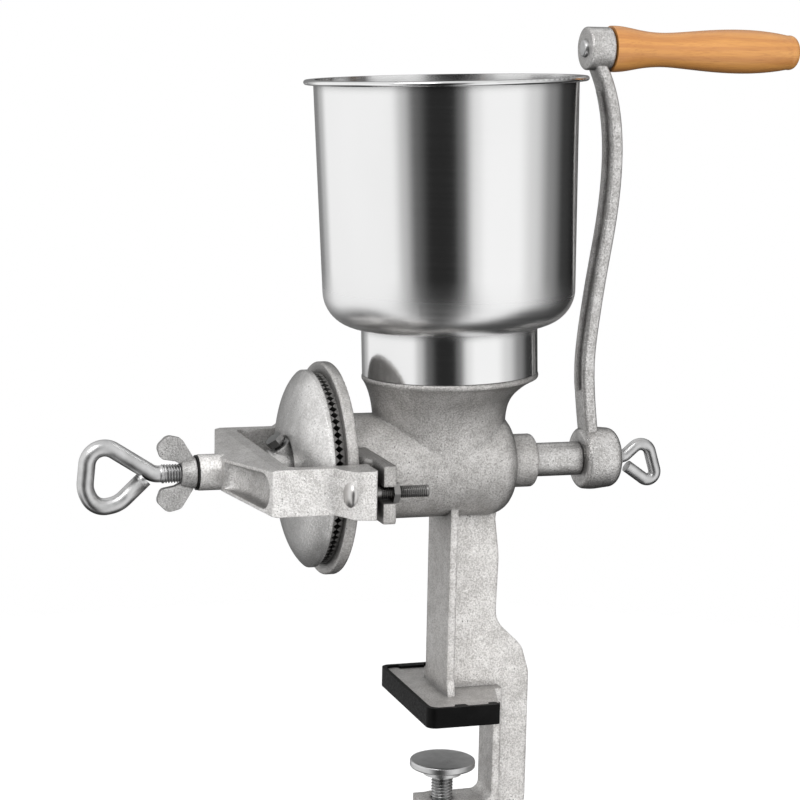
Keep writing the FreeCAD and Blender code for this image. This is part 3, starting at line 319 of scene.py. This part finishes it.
def ground_iron(name):
    """Dark ground iron with a gritty grain, for the toothed plates."""
    made, nodes, shader, where = new_material(name)
    grit = nodes.noise(where, 900.0, 4.0, 0.6)
    colour = nodes.mix(nodes.span(grit, 0.35, 0.65, 0.0, 1.0), grey(0.16, 0.03), grey(0.34, 0.02))
    nodes.put(shader.inputs["Base Color"], colour)
    shader.inputs["Metallic"].default_value = 1.0
    nodes.put(shader.inputs["Roughness"], nodes.span(grit, 0.3, 0.7, 0.4, 0.65))
    nodes.put(shader.inputs["Normal"], bump(nodes, grit, 0.00015))
    return made


def rubber(name):
    """Black moulded rubber with a little dust."""
    made, nodes, shader, where = new_material(name)
    grit = nodes.noise(where, 800.0, 4.0, 0.6)
    dust = nodes.noise(where, 60.0, 4.0, 0.6)
    colour = nodes.mix(nodes.span(dust, 0.45, 0.75, 0.0, 1.0), grey(0.0015), grey(0.004))
    nodes.put(shader.inputs["Base Color"], colour)
    nodes.put(shader.inputs["Roughness"], nodes.span(grit, 0.3, 0.7, 0.36, 0.58))
    shader.inputs["Specular IOR Level"].default_value = 0.09
    nodes.put(shader.inputs["Normal"], bump(nodes, grit, 0.0001))
    return made


def turned_wood(name):
    """Light lacquered wood with its grain along the grip."""
    made, nodes, shader, where = new_material(name)
    along = nodes.stretched(where, (0.07, 1.0, 1.0))
    warp = nodes.noise(along, 60.0, 3.0, 0.5)
    wavy = {"Scale": 55.0, "Distortion": 9.0, "Detail": 3.0, "Detail Scale": 1.2, "Detail Roughness": 0.6}
    wavy["Vector"] = along
    rings = nodes.add("ShaderNodeTexWave", wavy, wave_type="RINGS", rings_direction="X")
    bands = rings.outputs["Fac"]
    fibre = nodes.noise(nodes.stretched(where, (0.03, 1.0, 1.0)), 1800.0, 3.0, 0.6)
    honey, straw = (0.365, 0.152, 0.035, 1), (0.46, 0.225, 0.062, 1)
    late_wood, pore = (0.30, 0.115, 0.03, 1), (0.22, 0.085, 0.025, 1)
    base = nodes.mix(nodes.span(warp, 0.3, 0.7, 0.0, 1.0), honey, straw)
    base = nodes.mix(nodes.span(bands, 0.2, 0.9, 0.0, 0.5), base, late_wood)
    base = nodes.mix(nodes.span(fibre, 0.48, 0.72, 0.0, 0.45), base, pore)
    nodes.put(shader.inputs["Base Color"], base)
    nodes.put(shader.inputs["Roughness"], nodes.span(fibre, 0.3, 0.7, 0.34, 0.5))
    shader.inputs["Coat Weight"].default_value = 0.25
    shader.inputs["Coat Roughness"].default_value = 0.2
    nodes.put(shader.inputs["Normal"], bump(nodes, fibre, 0.00006))
    return made


MATERIALS = {
    "cast_iron": cast_metal("cast_iron_tinned", grey(0.88, 0.016), grey(0.50, 0.03), (0.26, 0.42), 0.00040),
    "burr_iron": ground_iron("burr_iron_ground"),
    "hopper_steel": spun_steel("hopper_spun_steel"),
    "zinc_steel": plated_steel("zinc_steel_bright", 0.62, 0.33),
    "bolt_steel": plated_steel("bolt_steel_dull", 0.36, 0.36, 0.02, 0.00012, head=(LUG_X, 0.60)),
    "black_bolts": plated_steel("black_bolts_oxide", 0.26, 0.32, 0.0, 0.00008),
    "boot_rubber": rubber("boot_rubber_black"),
    "grip_wood": turned_wood("grip_wood_lacquered"),
}
# Painted shade: the body's colour darkens between these heights, from its leg to its barrel and throat, to
# this share
BARREL_PAINTED_SHADE = (0.092, 0.122, 0.68)
# Pieces whose own finish differs from the rest of their slot
OWN_FINISH = {
    "wing_nut": cast_metal("wing_nut_cast", grey(0.56, 0.012), grey(0.28, 0.02), (0.28, 0.44), 0.0004),
    # A black oxide lock washer, made near black so that it also paints the shade in the gap between the wing
    # nut and the yoke's boss
    "lock_washer": plated_steel("lock_washer_dark", 0.04, 0.4),
    "mill_body": cast_metal(
        "mill_body_cast",
        grey(0.88, 0.022),
        grey(0.48, 0.036),
        (0.26, 0.42),
        0.00042,
        edge=0.0024,
        outline_shade=0.30,
        height_shade=BARREL_PAINTED_SHADE,
    ),
    "crank_arm": cast_metal(
        "crank_cast", grey(0.74, 0.016), grey(0.38, 0.03), (0.24, 0.38), 0.00030, outline_shade=0.22, metal=0.92
    ),
    "feed_screw": cast_metal(
        "shaft_cast", grey(0.70, 0.016), grey(0.40, 0.03), (0.24, 0.38), 0.00026, outline_shade=0.22, metal=0.92
    ),
    # The yoke's painted shade reaches further, darkening the inner walls of its arms
    "yoke": cast_metal("yoke_cast", grey(0.90, 0.016), grey(0.52, 0.03), (0.26, 0.42), 0.00040, reach=0.030),
    "plate_carrier": cast_metal("carrier_cast", grey(0.70, 0.012), grey(0.46, 0.02), (0.24, 0.36), 0.00016),
}
SLOT_OF = {row["node"]: row["material_slot"] for row in frame["record"]["subparts"]}

for node, obj in frame["nodes"].items():
    for place in obj.material_slots:
        place.material = OWN_FINISH.get(node, MATERIALS[SLOT_OF[node]])


# ---- Pieces made here ----

ALONG_X = Vector((1, 0, 0))
ALONG_Z = Vector((0, 0, 1))
# Points closer than this are joined into one
SAME_SPOT = 1e-6
# Edges stay sharp where their faces turn by more than this, in degrees
SCREW_SHARP = 38
YOKE_SHARP = 20


def copied_mesh(data):
    """An editable copy of a mesh with its split corners joined again."""
    mesh = bmesh.new()
    mesh.from_mesh(data)
    bmesh.ops.remove_doubles(mesh, verts=mesh.verts[:], dist=SAME_SPOT)
    return mesh


def as_object(mesh, name):
    """Turns an edited mesh into an object of the scene, and lets go of it."""
    data = bpy.data.meshes.new(name)
    mesh.to_mesh(data)
    mesh.free()
    made = bpy.data.objects.new(name, data)
    scene.collection.objects.link(made)
    return made


def finish_with(data, material, sharpest=None):
    """Gives a mesh one material and smooth faces, with sharp edges beyond an angle where one is given."""
    data.materials.clear()
    data.materials.append(material)
    for face in data.polygons:
        face.material_index = 0
        face.use_smooth = True
    if sharpest is not None:
        data.set_sharp_from_angle(angle=math.radians(sharpest))


# ---- Threads ----

# A thread's depth as a share of its pitch, how steep its flanks are, and how wide its flat crests are
THREAD_DEPTH = 0.55
FLANK_SLOPE = 1.25
CREST_WIDTH = 0.12
# Points round a thread, and rings of them in each turn
THREAD_SIDES = 40
RINGS_PER_TURN = 9
# The skin of a rod is looked for within this share of its radius
SKIN_REACH = 1.03


def cut_out_rod(mesh, centre, way, low, high, radius):
    """Takes the plain skin of a rod out of a mesh between two planes across it."""
    for reach in (low, high):
        everything = mesh.verts[:] + mesh.edges[:] + mesh.faces[:]
        bmesh.ops.bisect_plane(mesh, geom=everything, plane_co=centre + way * reach, plane_no=way)
    skin = []
    for face in mesh.faces:
        away = face.calc_center_median() - centre
        along = away.dot(way)
        if low < along < high and (away - way * along).length < radius * SKIN_REACH:
            skin.append(face)
    bmesh.ops.delete(mesh, geom=skin, context="FACES")


def join_rings(mesh, lower, upper):
    """Joins two closed rows of points with a band of faces."""
    for j in range(len(lower)):
        k = (j + 1) % len(lower)
        mesh.faces.new((lower[j], lower[k], upper[k], upper[j]))


def wind_thread(mesh, centre, way, low, high, radius, pitch):
    """A right-handed V thread whose crests keep the rod's radius, faded out at both ends."""
    rings = math.ceil((high - low) / pitch * RINGS_PER_TURN)
    side = way.orthogonal().normalized()
    up = way.cross(side)
    grid = []
    for i in range(rings + 1):
        along = low + (high - low) * i / rings
        fade = min(1.0, (along - low) / pitch, (high - along) / pitch)
        ring = []
        for j in range(THREAD_SIDES):
            share = j / THREAD_SIDES
            phase = (along / pitch - share) % 1.0
            valley = min(1.0, max(0.0, FLANK_SLOPE * abs(2 * phase - 1) - CREST_WIDTH))
            reach = radius - THREAD_DEPTH * pitch * fade * valley
            angle = 2 * math.pi * share
            spot = centre + way * along + (side * math.cos(angle) + up * math.sin(angle)) * reach
            ring.append(mesh.verts.new(spot))
        grid.append(ring)
    for lower, upper in zip(grid, grid[1:]):
        join_rings(mesh, lower, upper)


def add_round_bar(mesh, start, end, radius):
    """A closed round bar between two points."""
    turn = (end - start).to_track_quat("Z", "Y").to_matrix().to_4x4()
    bmesh.ops.create_cone(
        mesh,
        cap_ends=True,
        segments=THREAD_SIDES,
        radius1=radius,
        radius2=radius,
        depth=(end - start).length,
        matrix=Matrix.Translation((start + end) / 2) @ turn,
    )


def add_threads(node, centres, way, low, high, radius, pitch, tip=None):
    """Stands in for a CAD screw, with a thread on its plain rod and a tip given as (start, end, radius)."""
    source = frame["nodes"][node]
    mesh = copied_mesh(source.data)
    for centre in centres:
        cut_out_rod(mesh, centre, way, low, high, radius)
    for centre in centres:
        wind_thread(mesh, centre, way, low, high, radius, pitch)
    if tip is not None:
        add_round_bar(mesh, *tip)
    screw = as_object(mesh, node + "_threaded")
    finish_with(screw.data, MATERIALS[SLOT_OF[node]], SCREW_SHARP)
    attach(screw, body_of(source)[0])
    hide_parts(node)


# The eye's wire ends short of its own rod, and is drawn out to touch it
ADJUST_END_X = BOSS_X - 0.0186
EYE_END = Vector((ADJUST_END_X - 0.0103, 0, AXIS_Z - 0.0032))
EYE_END_WAY = Vector((12.4, 0, 11.8)).normalized()
EYE_WIRE_R = 0.0044
EYE_OVERLAP = 0.001
EYE_DRAWN_OUT = 0.0017
# Lengths left plain at the ends of the threads
ADJUST_PLAIN_FOOT = 0.0002
ADJUST_PLAIN_TIP = 0.004
BOLT_PLAIN_TIP = 0.0007
CLAMP_PLAIN_TIP = 0.001

add_threads(
    "adjusting_screw",
    [Vector((0, 0, AXIS_Z))],
    ALONG_X,
    low=ADJUST_END_X + ADJUST_PLAIN_FOOT,
    high=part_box("adjusting_screw")[1][0] - ADJUST_PLAIN_TIP,
    radius=0.00495,
    pitch=0.0015,
    tip=(EYE_END - EYE_END_WAY * EYE_OVERLAP, EYE_END + EYE_END_WAY * EYE_DRAWN_OUT, EYE_WIRE_R),
)

BOLT_HEAD_R = 0.0069
BOLT_THREAD_LENGTH = 0.026
bolt_end_x, outer_y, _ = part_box("yoke_bolts")[1]
bolt_y = outer_y - BOLT_HEAD_R
add_threads(
    "yoke_bolts",
    [Vector((0, -bolt_y, AXIS_Z)), Vector((0, bolt_y, AXIS_Z))],
    ALONG_X,
    low=bolt_end_x - BOLT_THREAD_LENGTH,
    high=bolt_end_x - BOLT_PLAIN_TIP,
    radius=0.00315,
    pitch=0.001,
)

CLAMP_THREAD_BELOW_JAW = 0.0418
jaw_bottom_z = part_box("mill_body")[0][2]
pad_bottom_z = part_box("clamp_pad")[0][2]
add_threads(
    "clamp_screw",
    [Vector((0, 0, 0))],
    ALONG_Z,
    low=jaw_bottom_z - CLAMP_THREAD_BELOW_JAW,
    high=pad_bottom_z - CLAMP_PLAIN_TIP,
    radius=0.00595,
    pitch=0.00175,
)


# ---- Yoke ----

# The cross bar stands behind the boss, and its sloping front runs into the arms at BAR_END_X
BAR_X = BOSS_X + 0.0114
BAR_END_X = BAR_X + 0.0155
ARM_Y = 0.064
# The hollow's middle line on the bar's front, its depth, and its half heights at both ends
HOLLOW_NEAR = Vector((BAR_X + 0.0005, 0.0112, 0))
HOLLOW_FAR = Vector((BAR_X + 0.0121, 0.0610, 0))
HOLLOW_DEPTH = 0.0085
HOLLOW_NEAR_HALF = 0.0070
HOLLOW_FAR_HALF = 0.0096
# The filling of a slot stands just higher than the room round the bolt's head
SLOT_HALF = 0.0079
# A tool's face is kept this far off the face that it runs along
SLIVER = 0.00001
# Neighbouring faces are joined after the booleans where they turn by less than this, in radians
FLAT = 0.01
# Middle and radii of the dome of a bolt's head
DOME_X = LUG_X - 0.0027
DOME_Y = 0.0714
DOME_RADII = (0.0042, 0.0064, 0.0074)


def as_tool(mesh, name):
    """A closed mesh as an object that a boolean can use."""
    bmesh.ops.remove_doubles(mesh, verts=mesh.verts[:], dist=SAME_SPOT)
    bmesh.ops.recalc_face_normals(mesh, faces=mesh.faces[:])
    return as_object(mesh, name)


def scoop(side):
    """A rounded hollow sunk along X into the sloping front of one half of the yoke's cross bar."""
    steps, turns = 32, 16
    # The tool starts this far in front of the bar, and its outer end is rounded off from this share
    ahead = 0.004
    round_from = 0.82
    mesh = bmesh.new()
    grid = []
    for i in range(steps + 1):
        # Close steps at both ends, where the floor turns up into the end walls
        share = 0.5 - 0.5 * math.cos(math.pi * i / steps)
        spot = HOLLOW_NEAR.lerp(HOLLOW_FAR, share)
        past_round = max(0.0, (share - round_from) / (1 - round_from))
        half = HOLLOW_NEAR_HALF + (HOLLOW_FAR_HALF - HOLLOW_NEAR_HALF) * share
        half *= max(0.02, 1 - past_round**2.4) ** 0.5
        deep = HOLLOW_DEPTH * max(0.0, 1 - abs(2 * share - 1) ** 3) ** 0.5
        row = [mesh.verts.new((spot.x - ahead, spot.y * side, AXIS_Z - half))]
        for j in range(turns + 1):
            angle = math.pi * (j / turns - 0.5)
            rise = math.copysign(abs(math.sin(angle)) ** 0.6, angle) * half
            sink = abs(math.cos(angle)) ** 0.6 * deep
            row.append(mesh.verts.new((spot.x + sink, spot.y * side, AXIS_Z + rise)))
        row.append(mesh.verts.new((spot.x - ahead, spot.y * side, AXIS_Z + half)))
        grid.append(row)
    for low, high in zip(grid, grid[1:]):
        join_rings(mesh, low, high)
    mesh.faces.new(grid[0])
    mesh.faces.new(grid[-1])
    return as_tool(mesh, "scoop")


def block(side, corners, caps):
    """An upright block with (x, y, half height) at each corner of its plan."""
    mesh = bmesh.new()
    low = [mesh.verts.new((x, y * side, AXIS_Z - half)) for x, y, half in corners]
    high = [mesh.verts.new((x, y * side, AXIS_Z + half)) for x, y, half in corners]
    for cap in caps:
        mesh.faces.new([low[i] for i in cap])
        mesh.faces.new([high[i] for i in cap])
    join_rings(mesh, low, high)
    return as_tool(mesh, "block")


def corner_block(side):
    """Fills the rounded corner between the bar's sloping front and an arm, up to a crisp edge."""
    outer_y = ARM_Y - SLIVER
    inner_y = 0.0590
    back_x = BAR_END_X + 0.0055
    half = 0.01198
    corners = [
        (BAR_X + 0.00993, 0.0520, 0.01075),
        (BAR_X + 0.01269, outer_y, 0.01136),
        (BAR_END_X, outer_y, half),
        (back_x, outer_y, half),
        (back_x, inner_y, half),
        (BAR_END_X, inner_y, half),
    ]
    # Its top and bottom slope as far as the bar's end, and are level behind it
    return block(side, corners, [(0, 1, 2, 5), (2, 3, 4, 5)])


def slot_block(side):
    """Fills the slot in front of a bolt's head, along the lug's flare and its rounded edge."""
    inner_y = 0.0610
    outer_y = ARM_Y + SLIVER
    root_x = -0.0150
    # (x from the lug's front face, y), with five points round the edge between the flare and the lug's end
    plan = [
        (root_x, inner_y),
        (root_x, outer_y),
        (-0.0095, outer_y),
        (-0.0035, 0.07515),
        (-0.0029, 0.07606),
        (-0.00223, 0.07667),
        (-0.0014, 0.07721),
        (-0.00047, 0.07756),
        (-SLIVER, 0.07765),
        (-SLIVER, inner_y),
    ]
    corners = [(LUG_X + x, y, SLOT_HALF) for x, y in plan]
    return block(side, corners, [range(len(corners))])


def add_shaped_yoke():
    """Stands in for the CAD yoke: hollows between the ribs of its cross bar, crisp corners, filled slots."""
    source = frame["nodes"]["yoke"]
    made = as_object(copied_mesh(source.data), "yoke_shaped")
    tools = []
    for side in (-1, 1):
        tools += [("UNION", corner_block(side)), ("UNION", slot_block(side)), ("DIFFERENCE", scoop(side))]
    for operation, tool in tools:
        step = made.modifiers.new("shape", "BOOLEAN")
        step.operation = operation
        step.solver = "EXACT"
        step.object = tool
    bpy.context.view_layer.update()
    shaped = bpy.data.meshes.new_from_object(made.evaluated_get(bpy.context.evaluated_depsgraph_get()))
    made.modifiers.clear()
    made.data = shaped
    for _, tool in tools:
        bpy.data.objects.remove(tool)
    mesh = bmesh.new()
    mesh.from_mesh(shaped)
    bmesh.ops.dissolve_limit(mesh, angle_limit=FLAT, verts=mesh.verts[:], edges=mesh.edges[:])
    mesh.to_mesh(shaped)
    mesh.free()
    finish_with(shaped, OWN_FINISH["yoke"], YOKE_SHARP)
    # Large faces stay flat, and the shading turns in the small ones beside them
    normals = made.modifiers.new("normals", "WEIGHTED_NORMAL")
    normals.mode = "FACE_AREA"
    normals.weight = 90
    normals.keep_sharp = True
    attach(made, body_of(source)[0])
    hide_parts("yoke")


def add_domed_heads():
    """The bolt heads' rounded tops, which stand a little proud of the yoke's lugs."""
    mesh = bmesh.new()
    for side in (-1, 1):
        place = Matrix.Translation((DOME_X, DOME_Y * side, AXIS_Z)) @ Matrix.Diagonal((*DOME_RADII, 1))
        bmesh.ops.create_uvsphere(mesh, u_segments=40, v_segments=24, radius=1.0, matrix=place)
    heads = as_object(mesh, "bolt_heads_domed")
    finish_with(heads.data, MATERIALS["bolt_steel"])
    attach(heads, body_of(frame["nodes"]["yoke_bolts"])[0])


add_shaped_yoke()
add_domed_heads()


# ---- Studio ----

# Brightness of the room at (degrees to the right of the camera, level)
PANELS = [
    (-180, 0.22),
    (-155, 0.26),
    (-142, 0.55),
    (-128, 1.1),
    (-50, 1.15),
    (-39, 0.66),
    (-28, 0.15),
    (-15, 0.025),
    (4, 0.025),
    (12, 0.20),
    (24, 1.0),
    (34, 1.2),
    (62, 1.2),
    (80, 0.85),
    (102, 0.30),
    (122, 0.05),
    (152, 0.01),
    (168, 0.12),
    (180, 0.22),
]
# How far the clamp's screw can be lowered, as clamp_height in the record says, and the air under it then
CLAMP_DROP = 0.01225
FLOOR_GAP = 0.001
FLOOR_RADIUS = 2.5
# The floor fades out between these distances from its middle
FADE_FROM, FADE_TO = 0.25, 0.9


def add_light(name, at, aim, size, watts, shines=True):
    """A rectangular lamp, which is left out of reflections where it doesn't shine."""
    data = bpy.data.lights.new(name, "AREA")
    data.shape = "RECTANGLE"
    data.size, data.size_y = size
    data.energy = watts
    light = bpy.data.objects.new(name, data)
    light.location = at
    light.rotation_euler = (Vector(aim) - Vector(at)).to_track_quat("-Z", "Y").to_euler()
    light.visible_glossy = shines
    scene.collection.objects.link(light)


def add_world():
    """White behind the object, and a studio of broad bright panels with dark gaps for it to reflect."""
    world = bpy.data.worlds.new("studio")
    scene.world = world
    world.use_nodes = True
    world.node_tree.nodes.clear()
    nodes = Nodes(world.node_tree)
    way = nodes.add("ShaderNodeTexCoord").outputs["Generated"]
    toward = (-math.sin(YAW), -math.cos(YAW), 0.0)
    aside = (math.cos(YAW), -math.sin(YAW), 0.0)
    along = nodes.dot(way, toward)
    across = nodes.dot(way, aside)
    angle = nodes.math("ARCTAN2", across, along)
    ramp = nodes.add("ShaderNodeValToRGB", {"Fac": nodes.span(angle, -math.pi, math.pi, 0.0, 1.0)})
    ramp.color_ramp.interpolation = "EASE"
    while len(ramp.color_ramp.elements) < len(PANELS):
        ramp.color_ramp.elements.new(0.5)
    for element, (degrees, level) in zip(ramp.color_ramp.elements, PANELS):
        element.position = (degrees + 180) / 360
        element.color = (level, level, level, 1)
    height = nodes.part_of(way, "Z")
    above = nodes.span(height, 0.30, 0.75, 0.0, 1.0)
    below = nodes.span(height, -0.60, -0.32, 1.0, 0.0)
    behind = nodes.span(along, 0.10, 0.42, 1.0, 0.0)
    room = nodes.mix(above, ramp.outputs["Color"], grey(0.95))
    room = nodes.mix(nodes.math("MULTIPLY", below, behind), room, grey(0.05))
    seen = nodes.add("ShaderNodeLightPath").outputs["Is Camera Ray"]
    shown = nodes.mix(seen, room, grey(1.0))
    back = nodes.add("ShaderNodeBackground", {"Color": shown, "Strength": 1.0})
    output = nodes.add("ShaderNodeOutputWorld")
    nodes.put(output.inputs["Surface"], back.outputs["Background"])


def add_floor():
    """A pale floor just under the lowest that a piece can reach, which fades into the white around it."""
    place = (0, 0, cad_low[2] - CLAMP_DROP - FLOOR_GAP)
    bpy.ops.mesh.primitive_circle_add(vertices=96, radius=FLOOR_RADIUS, fill_type="NGON", location=place)
    floor = bpy.context.object
    floor.name = "floor"
    made, nodes, shader, where = new_material("floor_paper")
    shader.inputs["Base Color"].default_value = (0.86, 0.86, 0.86, 1)
    grit = nodes.noise(where, 500.0, 2.0, 0.5)
    nodes.put(shader.inputs["Roughness"], nodes.span(grit, 0.0, 1.0, 0.8, 0.95))
    away = nodes.add("ShaderNodeVectorMath", {0: where}, operation="LENGTH").outputs["Value"]
    clear = nodes.add("ShaderNodeBsdfTransparent")
    blend = nodes.add("ShaderNodeMixShader")
    nodes.put(blend.inputs[0], nodes.span(away, FADE_FROM, FADE_TO, 0.0, 1.0))
    nodes.put(blend.inputs[1], shader.outputs["BSDF"])
    nodes.put(blend.inputs[2], clear.outputs["BSDF"])
    output = next(n for n in made.node_tree.nodes if n.type == "OUTPUT_MATERIAL")
    nodes.put(output.inputs["Surface"], blend.outputs[0])
    floor.data.materials.append(made)
    floor.visible_glossy = False
    floor.visible_diffuse = False


add_world()
add_floor()
add_light("key", (-1.1, -1.0, 1.6), (0, 0, 0.2), (0.9, 0.9), 13)
add_light("front", (0.25, -1.6, 0.75), (0, 0, 0.15), (1.2, 1.0), 29, shines=False)
add_light("back", (0.3, 1.5, 1.4), (0, 0, 0.2), (1.6, 0.8), 8, shines=False)
add_light("low", (-0.7, -0.9, 0.3), (0, 0, 0.0), (0.5, 0.5), 4, shines=False)
